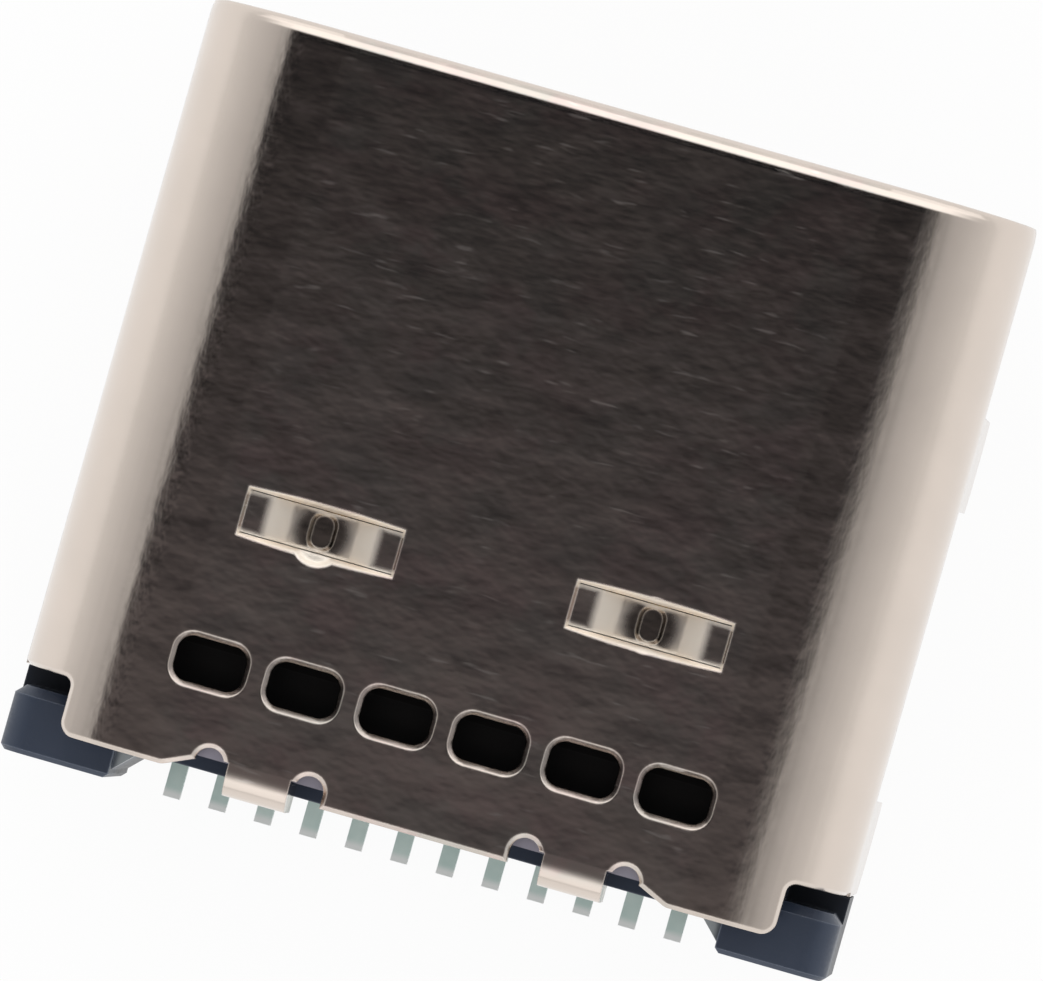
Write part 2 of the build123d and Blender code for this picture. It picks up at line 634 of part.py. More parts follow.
    # Stakes that go down through the board, straight from the sides
    for side in (-1, 1):
        for stake_centre in (STAKE_FRONT_CENTRE, STAKE_REAR_CENTRE):
            with BuildSketch(Plane.XY):
                with Locations((side * HALF_WIDTH, behind(stake_centre))):
                    Rectangle(SHELL_HEIGHT / 2, STAKE_WIDTH + 2 * STAKE_RELIEF)
            extrude(amount=MID_Z - STAKE_ROOT_DROP, mode=Mode.SUBTRACT)
            with BuildSketch(Plane.XY.offset(-STAKE_REACH)):
                with Locations((side * (HALF_WIDTH - SHEET / 2), behind(stake_centre))):
                    Rectangle(SHEET, STAKE_WIDTH)
            extrude(amount=STAKE_REACH + MID_Z)
    stake_tips = shell.faces().group_by(Axis.Z)[0].edges().filter_by(Axis.X)
    chamfer(stake_tips, STAKE_TIP_CHAMFER)
    # Windows in the roof
    with BuildSketch(Plane.XY.offset(MID_Z)):
        with Locations((0, behind(WINDOW_CENTRE))):
            with GridLocations(WINDOW_PITCH, 0, WINDOW_COUNT, 1):
                RectangleRounded(WINDOW_WIDTH, WINDOW_LENGTH, WINDOW_RADIUS)
    extrude(amount=SHELL_HEIGHT, mode=Mode.SUBTRACT)
    window_reach = WINDOW_LENGTH / 2 + FIT
    window_edges = roof_edges(shell, WINDOW_CENTRE - window_reach, WINDOW_CENTRE + window_reach)
    chamfer(window_edges, WINDOW_BREAK)
    # Bridges: cut along their long sides, coined at the ends and pressed down in the middle
    for bridge_x, bulge in (
        (-BRIDGE_SPACING / 2, DRAW_BULGE_RIGHT),
        (BRIDGE_SPACING / 2, DRAW_BULGE_LEFT),
    ):
        with BuildSketch(Plane.XY.offset(MID_Z)):
            with Locations((bridge_x, behind(BRIDGE_CENTRE))):
                Rectangle(BRIDGE_LENGTH, BRIDGE_WIDTH)
        extrude(amount=SHELL_HEIGHT, mode=Mode.SUBTRACT)
        with BuildSketch(Plane.XY.offset(ROOF - DRAW_DEPTH)):
            with Locations((bridge_x, behind(BRIDGE_CENTRE))):
                Rectangle(BRIDGE_LENGTH, BRIDGE_WIDTH)
        lip_left = bridge_x - BRIDGE_LENGTH / 2 - DRAW_EDGE
        lip_right = bridge_x + BRIDGE_LENGTH / 2 + DRAW_EDGE
        lip_front = behind(BRIDGE_CENTRE) - BRIDGE_WIDTH / 2 - DRAW_EDGE
        lip_rear = behind(BRIDGE_CENTRE) + BRIDGE_WIDTH / 2 + DRAW_EDGE
        with BuildSketch(Plane.XY.offset(ROOF)):
            with BuildLine():
                ThreePointArc(
                    (lip_left, lip_front), (bridge_x, lip_front - DRAW_BOW), (lip_right, lip_front)
                )
                Line((lip_right, lip_front), (lip_right, lip_rear))
                ThreePointArc(
                    (lip_right, lip_rear), (bridge_x, lip_rear + DRAW_BOW), (lip_left, lip_rear)
                )
                Line((lip_left, lip_rear), (lip_left, lip_front))
            make_face()
        loft(ruled=True, mode=Mode.SUBTRACT)
        with BuildSketch(Plane.XY.offset(ROOF)):
            with Locations((bridge_x, behind(BRIDGE_CENTRE) + BRIDGE_WIDTH / 2 + bulge)):
                with Locations((0, -DRAW_BULGE_RADIUS)):
                    Circle(DRAW_BULGE_RADIUS)
        extrude(amount=-DRAW_DEPTH, taper=PRESS_TAPER, mode=Mode.SUBTRACT)
        end_z = ROOF - BRIDGE_COIN - SHEET / 2
        flat_z = end_z - BRIDGE_DROP
        with BuildSketch(across(BRIDGE_CENTRE)) as bridge:
            with BuildLine():
                Polyline(
                    (bridge_x - BRIDGE_LENGTH / 2, end_z),
                    (bridge_x - BRIDGE_FLAT / 2 - BRIDGE_RAMP, end_z),
                    (bridge_x - BRIDGE_FLAT / 2, flat_z),
                    (bridge_x + BRIDGE_FLAT / 2, flat_z),
                    (bridge_x + BRIDGE_FLAT / 2 + BRIDGE_RAMP, end_z),
                    (bridge_x + BRIDGE_LENGTH / 2, end_z),
                )
            trace(line_width=SHEET)
            bends = bridge.vertices().filter_by(
                lambda v: abs(v.X - bridge_x) < BRIDGE_LENGTH / 2 - FIT
            )
            fillet(bends, BRIDGE_BEND)
        extrude(amount=BRIDGE_WIDTH / 2 - BRIDGE_SLIT, both=True)
        # Oval dimple, pressed through from above
        for dimple_z, mode in ((flat_z - SHEET / 2, Mode.ADD), (flat_z + SHEET / 2, Mode.SUBTRACT)):
            with BuildSketch(Plane.XY.offset(dimple_z)):
                with Locations((bridge_x, behind(BRIDGE_CENTRE))):
                    SlotOverall(DIMPLE_LENGTH, DIMPLE_WIDTH, rotation=90)
            extrude(amount=-DIMPLE_DEPTH, taper=PRESS_TAPER, mode=mode)
    # Keyed seam along the middle of the floor
    with BuildSketch(Plane.XY):
        key_front = behind(SEAM_KEY_FRONT)
        key_rear = behind(SEAM_KEY_FRONT + SEAM_KEY_LENGTH)
        with BuildLine():
            Polyline(
                (0, behind(0)),
                (0, key_front + SEAM_KEY_FLARE),
                (-SEAM_KEY_DEPTH, key_front),
                (-SEAM_KEY_DEPTH, key_rear),
                (0, key_rear - SEAM_KEY_FLARE),
                (0, behind(FLOOR_LENGTH)),
            )
        trace(line_width=SEAM_GAP)
    extrude(amount=BOARD_GAP + 2 * SHEET, mode=Mode.SUBTRACT)
shell.part.label = "shell"

pieces = [shell, housing, upper_wafer, lower_wafer, mid_plate, ground_collar]
for piece in pieces:
    export_step(piece.part, f"parts/{piece.part.label}.step")
for contact in upper_contacts + lower_contacts:
    export_step(contact, f"parts/{contact.label}.step")
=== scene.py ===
import json
import math

import bpy
from mathutils import Matrix, Vector


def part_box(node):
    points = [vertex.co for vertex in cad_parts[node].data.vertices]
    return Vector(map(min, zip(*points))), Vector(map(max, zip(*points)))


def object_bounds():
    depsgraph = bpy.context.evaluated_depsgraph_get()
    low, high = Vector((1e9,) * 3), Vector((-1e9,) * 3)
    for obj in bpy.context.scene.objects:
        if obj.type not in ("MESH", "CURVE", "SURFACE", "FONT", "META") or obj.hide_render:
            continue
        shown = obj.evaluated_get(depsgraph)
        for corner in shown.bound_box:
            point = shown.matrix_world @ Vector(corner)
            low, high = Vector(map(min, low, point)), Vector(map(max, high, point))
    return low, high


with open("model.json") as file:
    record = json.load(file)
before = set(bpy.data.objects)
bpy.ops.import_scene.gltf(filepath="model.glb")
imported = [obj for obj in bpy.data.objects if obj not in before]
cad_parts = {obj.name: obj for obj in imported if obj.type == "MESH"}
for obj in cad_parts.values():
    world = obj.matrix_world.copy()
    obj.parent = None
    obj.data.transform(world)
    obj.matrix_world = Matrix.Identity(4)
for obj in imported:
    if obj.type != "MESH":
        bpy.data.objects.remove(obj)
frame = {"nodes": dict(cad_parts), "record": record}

cad_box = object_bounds()

MM = 0.001

# The photograph: its width, the shell's two front corners in it, and its scale at two levels
PHOTO_WIDTH = 1043
FRONT_CORNER_LEFT = (213, 4)
FRONT_CORNER_RIGHT = (1038, 238)
PIXELS_PER_MM_AT_ROOF = 97.2
PIXELS_PER_MM_AT_BOARD = 94.9

# The camera: its lean to one side, and the point of the roof that it looks at
CAMERA_LEAN = math.radians(3.3)
AIM_X = -0.113 * MM
AIM_BEHIND_MOUTH = 4.072 * MM
SENSOR_WIDTH = 36.0
CLIP_START = 1 * MM
CLIP_END = 2.0

# Levels of the CAD model
shell_low, shell_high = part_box("shell")
mouth_y = shell_low.y
roof_z = shell_high.z
board_z = 0.0


# Likeness of the rounded and the flat normal: an edge below the first value, none above the second
EDGE_LIKENESS = (0.80, 0.98)


class Nodes:
    """A node tree under construction: makes nodes and links them in one call each."""

    def __init__(self, owner):
        owner.use_nodes = True
        self.tree = owner.node_tree
        self.tree.nodes.clear()

    def set_input(self, socket, value):
        """Links a socket to another one, or gives it a plain value."""
        if isinstance(value, bpy.types.NodeSocket):
            self.tree.links.new(value, socket)
        else:
            socket.default_value = value

    def add(self, kind, inputs=None, **settings):
        node = self.tree.nodes.new(kind)
        for name, value in settings.items():
            setattr(node, name, value)
        for name, value in (inputs or {}).items():
            self.set_input(node.inputs[name], value)
        return node

    def math(self, operation, first, second=0.0):
        return self.add("ShaderNodeMath", {0: first, 1: second}, operation=operation).outputs[0]

    def absolute(self, value):
        return self.math("ABSOLUTE", value)

    def product(self, *factors):
        result = factors[0]
        for factor in factors[1:]:
            result = self.math("MULTIPLY", result, factor)
        return result

    def mix(self, factor, first, second):
        """A blend of two colours. The colour sockets of a mix node are its seventh and eighth."""
        node = self.add("ShaderNodeMix", data_type="RGBA")
        self.set_input(node.inputs[0], factor)
        self.set_input(node.inputs[6], first)
        self.set_input(node.inputs[7], second)
        return node.outputs[2]

    def ramp(self, value, low, high, to_low=0.0, to_high=1.0, smooth=True):
        """A rise from one value to another between two limits."""
        node = self.add(
            "ShaderNodeMapRange",
            {"Value": value, "From Min": low, "From Max": high, "To Min": to_low, "To Max": to_high},
            interpolation_type="SMOOTHSTEP" if smooth else "LINEAR",
        )
        return node.outputs[0]

    def fall(self, value, low, high):
        """A fall from one to zero between two limits."""
        return self.ramp(value, low, high, 1.0, 0.0)

    def between(self, value, low, high, fade):
        """One between two limits, zero outside them, with a soft change of the given width."""
        return self.product(self.ramp(value, low - fade, low), self.fall(value, high, high + fade))

    def grey(self, tone):
        """The grey of a varying tone."""
        return self.add("ShaderNodeCombineColor", {0: tone, 1: tone, 2: tone}).outputs[0]

    def axes(self, space):
        """The three coordinates of a texture space."""
        coordinates = self.add("ShaderNodeTexCoord").outputs[space]
        return self.add("ShaderNodeSeparateXYZ", {0: coordinates}).outputs

    def noise(self, scale, detail=4.0, roughness=0.5):
        """Noise in object coordinates, with a scale for each axis in cells for each metre."""
        coordinates = self.add("ShaderNodeTexCoord").outputs["Object"]
        place = self.add("ShaderNodeMapping", {"Vector": coordinates, "Scale": scale}).outputs[0]
        node = self.add(
            "ShaderNodeTexNoise",
            {"Vector": place, "Scale": 1.0, "Detail": detail, "Roughness": roughness},
        )
        return node.outputs["Fac"]

    def rounded(self, radius):
        """Normals of a surface whose sharp edges are rounded over."""
        return self.add("ShaderNodeBevel", {"Radius": radius}, samples=6).outputs[0]

    def edge(self, radius):
        """A mask of the sharp edges: where a rounded surface would turn away from the real one."""
        flat = self.add("ShaderNodeNewGeometry").outputs["True Normal"]
        likeness = self.add(
            "ShaderNodeVectorMath", {0: self.rounded(radius), 1: flat}, operation="DOT_PRODUCT"
        )
        return self.fall(likeness.outputs["Value"], *EDGE_LIKENESS)

    def bump(self, height, distance, strength, normal=None):
        inputs = {"Height": height, "Distance": distance, "Strength": strength}
        if normal is not None:
            inputs["Normal"] = normal
        return self.add("ShaderNodeBump", inputs).outputs[0]

    def surface(self, inputs):
        """The material's own shader, with its inputs, on the output."""
        shader = self.add("ShaderNodeBsdfPrincipled", inputs)
        self.add("ShaderNodeOutputMaterial", {"Surface": shader.outputs[0]})


# Rolled sheet of the shell: two hues of the roof, its pale clouds and dashes, and the plain sides
SHEET_GREENISH = (0.635, 0.59, 0.535, 1.0)
SHEET_REDDISH = (0.70, 0.575, 0.535, 1.0)
SHEET_CLOUD = (0.755, 0.665, 0.595, 1.0)
SHEET_DASH = (1.0, 0.97, 0.93, 1.0)
SIDE_DARK = (0.68, 0.60, 0.535, 1.0)
SIDE_LIGHT = (0.74, 0.65, 0.58, 1.0)
ROOF_SIDES = (2.7 * MM, 2.95 * MM)
ROOF_DEPTH = (0.10 * MM, 0.05 * MM)

# The two pressed bridges of the roof: a painted highlight makes them whiter, and rubbing makes them
# duller, than the sheet round them
BRIDGE_X = 1.765 * MM
BRIDGE_Y = -1.25 * MM
BRIDGE_HALF_LENGTH = 0.86 * MM
BRIDGE_FRONT_REACH = 0.27 * MM
BRIDGE_REAR_REACH = 0.42 * MM
BRIDGE_LOWEST = 2.92 * MM
BRIDGE_HIGHEST = roof_z - 0.015 * MM
BRIDGE_EDGE = (0.15 * MM, 0.21 * MM)
BRIDGE_RAMP_END = (0.58 * MM, 0.66 * MM)
DIMPLE_SHADOW = (0.19 * MM, 0.36 * MM)
DIMPLE_PAINTED_SHADE = (0.30, 0.26, 0.22, 1.0)
BRIDGE_PAINTED_HIGHLIGHT = (1.0, 0.92, 0.82, 1.0)

# Painted shade on the short sides of the windows' rims, darker than their long sides
WINDOW_Y = 0.37 * MM
WINDOW_REACH = 0.4 * MM
WINDOWS_END = (3.0 * MM, 3.1 * MM)
RIM_DEPTH = (0.012 * MM, 0.004 * MM)
RIM_PAINTED_SHADE = (0.12, 0.10, 0.10, 1.0)

# Fine scuffs along both round sides, where they turn down
SCUFFS_START = 3.34 * MM
SCUFFS_END = 3.46 * MM
SCUFFS_FADE = 0.12 * MM
SCUFF_HEIGHT = 0.006 * MM

# The sheet's own surface: its ripple, its grain, its rounded edges (plain, rubbed) and its gloss
RIPPLE_HEIGHT = 0.012 * MM
GRAIN_HEIGHT = 0.0001 * MM
EDGE_RADII = (0.03 * MM, 0.08 * MM)
SHEET_ROUGHNESS = (0.12, 0.16)
RUBBED_DULLNESS = 0.36


def sheet_colour(nodes, dashes, on_roof):
    """The colour of the bare sheet: mottled on the roof, plain on the sides."""
    clouds = nodes.noise((1100.0, 1700.0, 1100.0), detail=3.0)
    hues = nodes.noise((1500.0, 1900.0, 1300.0), detail=3.0, roughness=0.6)
    mottled = nodes.mix(nodes.ramp(hues, 0.40, 0.62), SHEET_GREENISH, SHEET_REDDISH)
    mottled = nodes.mix(nodes.ramp(clouds, 0.3, 0.75), mottled, SHEET_CLOUD)
    mottled = nodes.mix(nodes.product(dashes, 0.25), mottled, SHEET_DASH)
    return nodes.mix(on_roof, nodes.mix(clouds, SIDE_DARK, SIDE_LIGHT), mottled)


def bridge_masks(nodes, place):
    """Two masks of the pressed bridges: where a painted highlight lies and the sheet is worn duller,
    and the round patch of painted shade at each dimple.
    """
    along = nodes.math("SUBTRACT", nodes.absolute(place["X"]), BRIDGE_X)
    aside = nodes.math("SUBTRACT", place["Y"], BRIDGE_Y)
    squares = nodes.math("ADD", nodes.product(along, along), nodes.product(aside, aside))
    from_dimple = nodes.math("SQRT", squares)
    pressed = nodes.product(
        nodes.between(along, -BRIDGE_HALF_LENGTH, BRIDGE_HALF_LENGTH, 0.02 * MM),
        nodes.between(aside, -BRIDGE_FRONT_REACH, BRIDGE_REAR_REACH, 0.02 * MM),
        nodes.between(place["Z"], BRIDGE_LOWEST, BRIDGE_HIGHEST, 0.01 * MM),
    )
    edges = nodes.ramp(nodes.absolute(aside), *BRIDGE_EDGE)
    ramps = nodes.product(
        nodes.ramp(from_dimple, *DIMPLE_SHADOW),
        nodes.ramp(nodes.absolute(along), *BRIDGE_RAMP_END, 1.0, 0.05),
    )
    highlight_and_rub = nodes.product(pressed, nodes.math("MAXIMUM", edges, ramps))
    shade_disc = nodes.product(pressed, nodes.fall(from_dimple, *DIMPLE_SHADOW))
    return highlight_and_rub, shade_disc


def rim_ends(nodes, place):
    """A mask of the windows' rims where they face along the row of windows."""
    normals = nodes.axes("Normal")
    return nodes.product(
        nodes.between(
            nodes.math("SUBTRACT", place["Y"], WINDOW_Y), -WINDOW_REACH, WINDOW_REACH, 0.02 * MM
        ),
        nodes.fall(place["Z"], roof_z - RIM_DEPTH[0], roof_z - RIM_DEPTH[1]),
        nodes.ramp(nodes.absolute(normals["X"]), 0.25, 0.6),
        nodes.fall(nodes.absolute(place["X"]), *WINDOWS_END),
    )


def shell_steel():
    material = bpy.data.materials.new("shell_steel_look")
    nodes = Nodes(material)
    place = nodes.axes("Object")
    from_middle = nodes.absolute(place["X"])
    on_roof = nodes.product(
        nodes.fall(from_middle, *ROOF_SIDES),
        nodes.ramp(place["Z"], roof_z - ROOF_DEPTH[0], roof_z - ROOF_DEPTH[1]),
    )
    streaks = nodes.noise((2900.0, 17000.0, 2900.0), detail=1.0)
    dashes = nodes.product(nodes.ramp(streaks, 0.65, 0.80), on_roof)
    highlight_and_rub, shade_disc = bridge_masks(nodes, place)
    colour = sheet_colour(nodes, dashes, on_roof)
    # Painted shade in each bridge's dimple
    colour = nodes.mix(nodes.product(shade_disc, 0.7), colour, DIMPLE_PAINTED_SHADE)
    # Painted highlight on the bridges' ramps and edges
    colour = nodes.mix(highlight_and_rub, colour, BRIDGE_PAINTED_HIGHLIGHT)
    # Painted shade on the short sides of the windows' rims
    colour = nodes.mix(nodes.product(rim_ends(nodes, place), 0.6), colour, RIM_PAINTED_SHADE)

    grain = nodes.noise((5000.0, 24000.0, 5000.0), detail=3.0, roughness=0.6)
    fine = nodes.ramp(grain, 0.3, 0.7, *SHEET_ROUGHNESS)
    dull = nodes.math("MAXIMUM", nodes.product(dashes, 0.25), highlight_and_rub)
    roughness = nodes.math("ADD", fine, nodes.product(dull, RUBBED_DULLNESS))

    ripple = nodes.noise((1600.0, 2300.0, 1600.0), detail=3.0, roughness=0.45)
    scuffs = nodes.noise((9000.0, 4000.0, 5000.0), detail=2.0, roughness=0.5)
    scuffed = nodes.between(from_middle, SCUFFS_START, SCUFFS_END, SCUFFS_FADE)
    normal = nodes.rounded(nodes.ramp(highlight_and_rub, 0.0, 1.0, *EDGE_RADII))
    normal = nodes.bump(nodes.product(scuffs, scuffed), SCUFF_HEIGHT, 0.6, normal)
    normal = nodes.bump(grain, GRAIN_HEIGHT, 0.5, normal)
    normal = nodes.bump(ripple, RIPPLE_HEIGHT, 0.4, normal)
    nodes.surface({"Base Color": colour, "Metallic": 1.0, "Roughness": roughness, "Normal": normal})
    return material


# Plastic: near-black, faintly blue, fine grain, with a painted highlight along its sharp edges
EDGE_HIGHLIGHT_RADIUS = 0.035 * MM
PLASTIC_ROUGHNESS = (0.36, 0.48)
FINE_BUMP_HEIGHT = 0.002 * MM


def moulded_plastic(name, dark, light, edge_highlight, tint=None):
    material = bpy.data.materials.new(name)
    nodes = Nodes(material)
    clouds = nodes.noise((1500.0, 1500.0, 1500.0))
    grain = nodes.noise((30000.0, 30000.0, 30000.0), detail=2.0)
    # Painted highlight: sharp edges are made paler
    colour = nodes.mix(nodes.edge(EDGE_HIGHLIGHT_RADIUS), nodes.mix(clouds, dark, light), edge_highlight)
    if tint is not None:
        colour = tint(nodes, colour)
    nodes.surface(
        {
            "Base Color": colour,
            "Roughness": nodes.ramp(grain, 0.3, 0.7, *PLASTIC_ROUGHNESS),
            "Normal": nodes.bump(grain, FINE_BUMP_HEIGHT, 0.5),
        }
    )
    return material


# Housing: black wells under the windows as painted shade, a paler top step as painted light, dark
# low necks as painted shade, pale webs at the rear
WELL_HEIGHT = (2.20 * MM, 2.30 * MM)
WELL_REAR = (1.06 * MM, 1.12 * MM)
WELL_PAINTED_SHADE = (0.001, 0.001, 0.001, 1.0)
TOP_STEP_HEIGHT = (2.88 * MM, 2.92 * MM)
TOP_STEP_FRONT = (1.08 * MM, 1.14 * MM)
TOP_STEP_PAINTED_LIGHT = (0.34, 0.33, 0.41, 1.0)
NECK_HEIGHT = (1.25 * MM, 1.6 * MM)
NECK_FRONT = (0.6 * MM, 0.9 * MM)
NECK_SHARE = 0.75
NECK_PAINTED_SHADE = (0.004, 0.006, 0.010, 1.0)
WEB_HEIGHT = (1.85 * MM, 2.05 * MM)
WEB_FRONT = (1.50 * MM, 1.54 * MM)
WEB_SIDES = (3.20 * MM, 3.30 * MM)
WEB_PALE = (0.40, 0.43, 0.44, 1.0)


def housing_shade_and_tint(nodes, colour):
    place = nodes.axes("Object")
    well_shade = nodes.product(nodes.ramp(place["Z"], *WELL_HEIGHT), nodes.fall(place["Y"], *WELL_REAR))
    lit_top_step = nodes.product(
        nodes.ramp(place["Z"], *TOP_STEP_HEIGHT), nodes.ramp(place["Y"], *TOP_STEP_FRONT)
    )
    neck_shade = nodes.product(nodes.fall(place["Z"], *NECK_HEIGHT), nodes.ramp(place["Y"], *NECK_FRONT))
    web = nodes.product(
        nodes.ramp(place["Y"], *WEB_FRONT),
        nodes.fall(nodes.absolute(place["X"]), *WEB_SIDES),
        nodes.ramp(place["Z"], *WEB_HEIGHT),
    )
    # Painted shade darkens the low necks deep in their trenches
    colour = nodes.mix(nodes.product(neck_shade, NECK_SHARE), colour, NECK_PAINTED_SHADE)
    colour = nodes.mix(web, colour, WEB_PALE)
    # Painted light makes the top step paler than the ledge below it
    colour = nodes.mix(lit_top_step, colour, TOP_STEP_PAINTED_LIGHT)
    # Painted shade makes the wells under the windows black
    return nodes.mix(well_shade, colour, WELL_PAINTED_SHADE)


# Plain stamped steel of the mid plate and the ground collar
STAMPED_ROUGHNESS = (0.25, 0.35)


def stamped_steel(name, dark, light):
    material = bpy.data.materials.new(name)
    nodes = Nodes(material)
    clouds = nodes.noise((900.0, 4000.0, 4000.0))
    nodes.surface(
        {
            "Base Color": nodes.mix(clouds, dark, light),
            "Metallic": 1.0,
            "Roughness": nodes.ramp(clouds, 0.3, 0.7, *STAMPED_ROUGHNESS),
            "Normal": nodes.bump(clouds, FINE_BUMP_HEIGHT, 0.4),
        }
    )
    return material


# Contacts: gold on the blades in the mouth, dull tin on the solder feet, paler at their ends
GOLD_DARK = (0.80, 0.56, 0.24, 1.0)
GOLD_LIGHT = (0.90, 0.66, 0.32, 1.0)
TIN_DARK = (0.44, 0.60, 0.56, 1.0)
TIN_LIGHT = (0.76, 0.86, 0.81, 1.0)
TIN_END = (0.88, 0.90, 0.88, 1.0)
TIN_TOP = (0.9 * MM, 1.1 * MM)
TIN_END_REACH = (0.12 * MM, 0.03 * MM)
GOLD_TO_TIN_METALLIC = (1.0, 0.15)
GOLD_TO_TIN_ROUGHNESS = (0.18, 0.5)


def contact_plating():
    material = bpy.data.materials.new("contact_plating")
    nodes = Nodes(material)
    place = nodes.axes("Object")
    tinned = nodes.fall(place["Z"], *TIN_TOP)
    foot_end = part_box("contact_a01")[1].y
    pale_end = nodes.ramp(place["Y"], foot_end - TIN_END_REACH[0], foot_end - TIN_END_REACH[1])
    clouds = nodes.noise((3000.0, 3000.0, 3000.0))
    gold = nodes.mix(clouds, GOLD_DARK, GOLD_LIGHT)
    tin = nodes.mix(pale_end, nodes.mix(clouds, TIN_DARK, TIN_LIGHT), TIN_END)
    nodes.surface(
        {
            "Base Color": nodes.mix(tinned, gold, tin),
            "Metallic": nodes.ramp(tinned, 0.0, 1.0, *GOLD_TO_TIN_METALLIC),
            "Roughness": nodes.ramp(tinned, 0.0, 1.0, *GOLD_TO_TIN_ROUGHNESS),
            "Normal": nodes.bump(clouds, FINE_BUMP_HEIGHT, 0.4),
        }
    )
    return material


looks = {
    "shell_steel": shell_steel(),
    "housing_plastic": moulded_plastic(
        "housing_look",
        dark=(0.022, 0.034, 0.060, 1.0),
        light=(0.042, 0.056, 0.090, 1.0),
        edge_highlight=(0.19, 0.22, 0.28, 1.0),
        tint=housing_shade_and_tint,
    ),
    "wafer_plastic": moulded_plastic(
        "wafer_look",
        dark=(0.005, 0.005, 0.006, 1.0),
        light=(0.009, 0.009, 0.011, 1.0),
        edge_highlight=(0.02, 0.02, 0.022, 1.0),
    ),
    "plate_steel": stamped_steel(
        "plate_look", dark=(0.5, 0.49, 0.47, 1.0), light=(0.62, 0.61, 0.58, 1.0)
    ),
    "collar_steel": stamped_steel(
        "collar_look", dark=(0.55, 0.53, 0.5, 1.0), light=(0.66, 0.64, 0.6, 1.0)
    ),
    "contact_gold": contact_plating(),
}
for row in frame["record"]["subparts"]:
    piece = frame["nodes"][row["node"]]
    piece.data.materials.clear()
    piece.data.materials.append(looks[row["material_slot"]])

# Floor: white paper just under the stakes' tips, a little greyer far away in the metal's reflections
FLOOR_HALF = 400 * MM
FLOOR_GAP = 0.01 * MM
FLOOR_FAR = (6 * MM, 60 * MM)
FLOOR_PAPER = (0.92, 0.92, 0.92, 1.0)
FLOOR_FAR_TONE = (0.8, 0.8, 0.8, 1.0)
FLOOR_WHITE_SHARE = 0.93
WHITE = (1.0, 1.0, 1.0, 1.0)
floor_z = cad_box[0].z - FLOOR_GAP
floor_mesh = bpy.data.meshes.new("floor")
floor_mesh.from_pydata(
    [(x * FLOOR_HALF, y * FLOOR_HALF, floor_z) for x, y in ((-1, -1), (1, -1), (1, 1), (-1, 1))],
    [],
    [(0, 1, 2, 3)],
)
floor = bpy.data.objects.new("floor", floor_mesh)
bpy.context.scene.collection.objects.link(floor)
floor_look = bpy.data.materials.new("floor_look")
nodes = Nodes(floor_look)
rays = nodes.add("ShaderNodeLightPath").outputs
seen = nodes.math(
    "MAXIMUM",
    nodes.math("MAXIMUM", rays["Is Camera Ray"], rays["Is Glossy Ray"]),
    rays["Is Transmission Ray"],
)
paper = nodes.add("ShaderNodeBsdfDiffuse", {"Color": FLOOR_PAPER})
distance = nodes.add(
    "ShaderNodeVectorMath",
    {0: nodes.add("ShaderNodeTexCoord").outputs["Object"]},
    operation="LENGTH",
).outputs["Value"]
far_off = nodes.product(nodes.ramp(distance, *FLOOR_FAR), rays["Is Glossy Ray"])
white = nodes.add(
    "ShaderNodeEmission", {"Color": nodes.mix(far_off, WHITE, FLOOR_FAR_TONE), "Strength": 1.0}
)
blend = nodes.add(
    "ShaderNodeMixShader",
    {0: nodes.product(seen, FLOOR_WHITE_SHARE), 1: paper.outputs[0], 2: white.outputs[0]},
)
nodes.add("ShaderNodeOutputMaterial", {"Surface": blend.outputs[0]})
floor_mesh.materials.append(floor_look)


def slope(degrees):
    """How far off the vertical a direction lies, as run for each unit of height."""
    return math.tan(math.radians(degrees))


# World: white behind the object, and a soft studio with a dark ceiling in its reflections.
# Each pair of angles from the vertical is where the fade of one side of the ceiling starts and ends.
CEILING_LEFT = (42, 58)
CEILING_RIGHT = (21, 56)
CEILING_FRONT = (24, 32)
CEILING_REAR = (16, 62)
CEILING_TONE_SPAN = 0.05
CEILING_DARK = (0.003, 0.003, 0.005, 1.0)
CEILING_LIGHT = (0.047, 0.043, 0.046, 1.0)
CEILING_REAR_SPAN = (0.014, 0.036)
CEILING_REAR_LIGHT = (0.125, 0.112, 0.115, 1.0)
WALL_TONES = (0.79, 0.31)
FRONT_WINDOW = (-0.6, -0.35)
FRONT_WINDOW_HEIGHTS = (0.10, 0.30)
FRONT_WINDOW_TONES = (1.25, 1.50)
REAR_WINDOW = (0.45, 0.9)
REAR_WINDOW_LIGHT = (1.15, 1.15, 1.15, 1.0)
LEAST_HEIGHT = 0.02
world = bpy.data.worlds.new("studio")
bpy.context.scene.world = world
nodes = Nodes(world)
direction = nodes.axes("Generated")
height = nodes.math("MAXIMUM", direction["Z"], LEAST_HEIGHT)
aside = nodes.math("DIVIDE", direction["X"], height)
behind = nodes.math("DIVIDE", direction["Y"], height)
in_ceiling = nodes.product(
    nodes.fall(aside, slope(CEILING_LEFT[0]), slope(CEILING_LEFT[1])),
    nodes.ramp(aside, -slope(CEILING_RIGHT[1]), -slope(CEILING_RIGHT[0])),
    nodes.ramp(behind, -slope(CEILING_FRONT[1]), -slope(CEILING_FRONT[0])),
    nodes.fall(behind, slope(CEILING_REAR[0]), slope(CEILING_REAR[1])),
)
ceiling = nodes.mix(
    nodes.ramp(behind, -CEILING_TONE_SPAN, CEILING_TONE_SPAN), CEILING_DARK, CEILING_LIGHT
)
ceiling = nodes.mix(nodes.ramp(behind, *CEILING_REAR_SPAN), ceiling, CEILING_REAR_LIGHT)
walls = nodes.grey(nodes.ramp(direction["Z"], 0.0, 1.0, *WALL_TONES, smooth=False))
walls = nodes.mix(nodes.ramp(direction["Y"], *REAR_WINDOW), walls, REAR_WINDOW_LIGHT)
front_tone = nodes.ramp(direction["Z"], *FRONT_WINDOW_HEIGHTS, *FRONT_WINDOW_TONES)
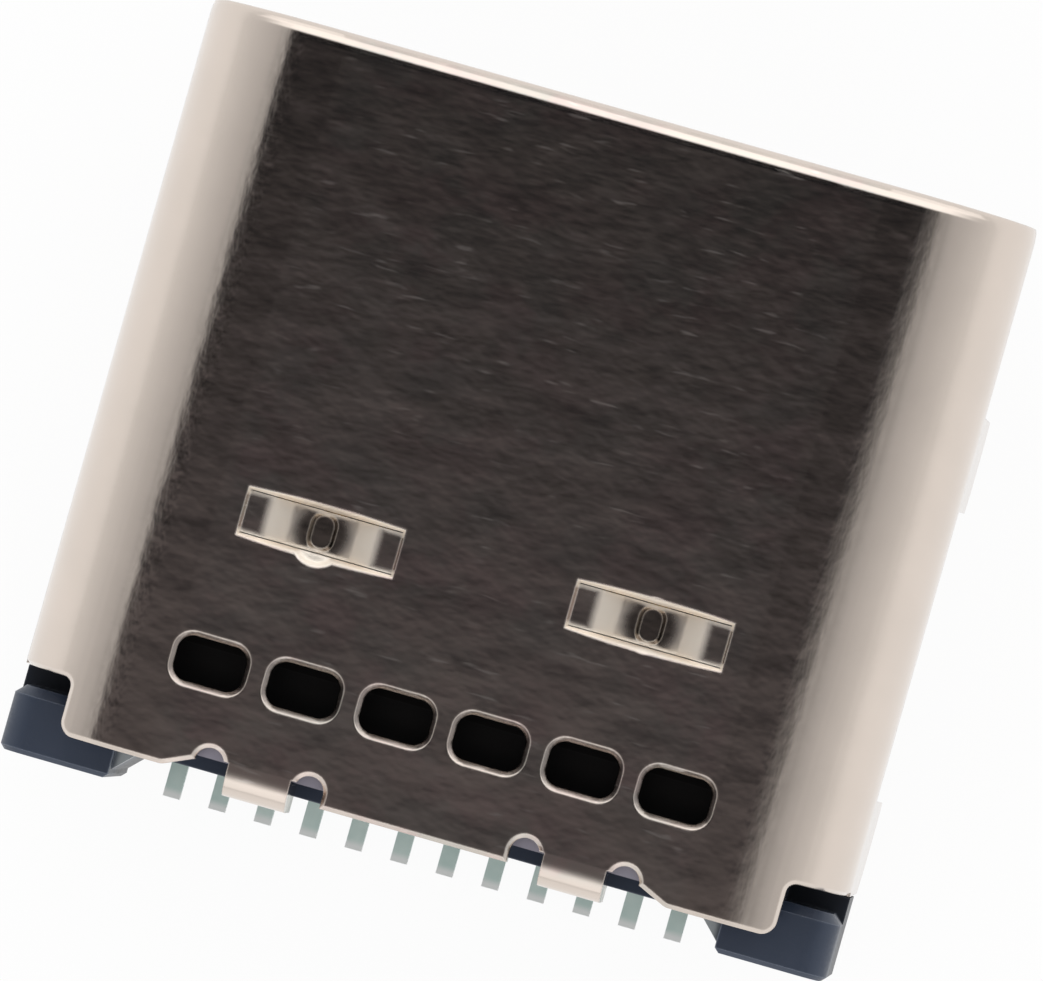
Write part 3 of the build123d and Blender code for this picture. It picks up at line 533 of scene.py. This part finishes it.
walls = nodes.mix(nodes.fall(direction["Y"], *FRONT_WINDOW), walls, nodes.grey(front_tone))
rays = nodes.add("ShaderNodeLightPath").outputs
plain = nodes.add("ShaderNodeBackground", {"Color": WHITE, "Strength": 1.0})
studio = nodes.add(
    "ShaderNodeBackground", {"Color": nodes.mix(in_ceiling, walls, ceiling), "Strength": 1.0}
)
shown = nodes.add(
    "ShaderNodeMixShader", {0: rays["Is Glossy Ray"], 1: plain.outputs[0], 2: studio.outputs[0]}
)
nodes.add("ShaderNodeOutputWorld", {"Surface": shown.outputs[0]})

# Camera: high above, leaning to the photograph's right, turned so that the mouth is at the top
turn = math.atan2(
    FRONT_CORNER_RIGHT[1] - FRONT_CORNER_LEFT[1], FRONT_CORNER_RIGHT[0] - FRONT_CORNER_LEFT[0]
)
depth = roof_z - board_z
roof_distance = depth * PIXELS_PER_MM_AT_BOARD / (PIXELS_PER_MM_AT_ROOF - PIXELS_PER_MM_AT_BOARD)
focal_pixels = PIXELS_PER_MM_AT_ROOF * roof_distance / MM
aim = Vector((AIM_X, mouth_y + AIM_BEHIND_MOUTH, roof_z))
toward_camera = Vector((-math.sin(CAMERA_LEAN), 0.0, math.cos(CAMERA_LEAN)))
level_right = Vector((-math.cos(CAMERA_LEAN), 0.0, -math.sin(CAMERA_LEAN)))
level_up = Vector((0.0, -1.0, 0.0))
right = level_right * math.cos(turn) + level_up * math.sin(turn)
up = level_up * math.cos(turn) - level_right * math.sin(turn)
camera_data = bpy.data.cameras.new("camera")
camera_data.sensor_width = SENSOR_WIDTH
camera_data.lens = SENSOR_WIDTH * focal_pixels / PHOTO_WIDTH
camera_data.clip_start = CLIP_START
camera_data.clip_end = CLIP_END
camera = bpy.data.objects.new("camera", camera_data)
bpy.context.scene.collection.objects.link(camera)
position = aim + toward_camera * roof_distance / math.cos(CAMERA_LEAN)
rotation = Matrix((right, up, toward_camera)).transposed().to_4x4()
camera.matrix_world = Matrix.Translation(position) @ rotation
bpy.context.scene.camera = camera

bpy.context.scene.view_settings.view_transform = "Standard"
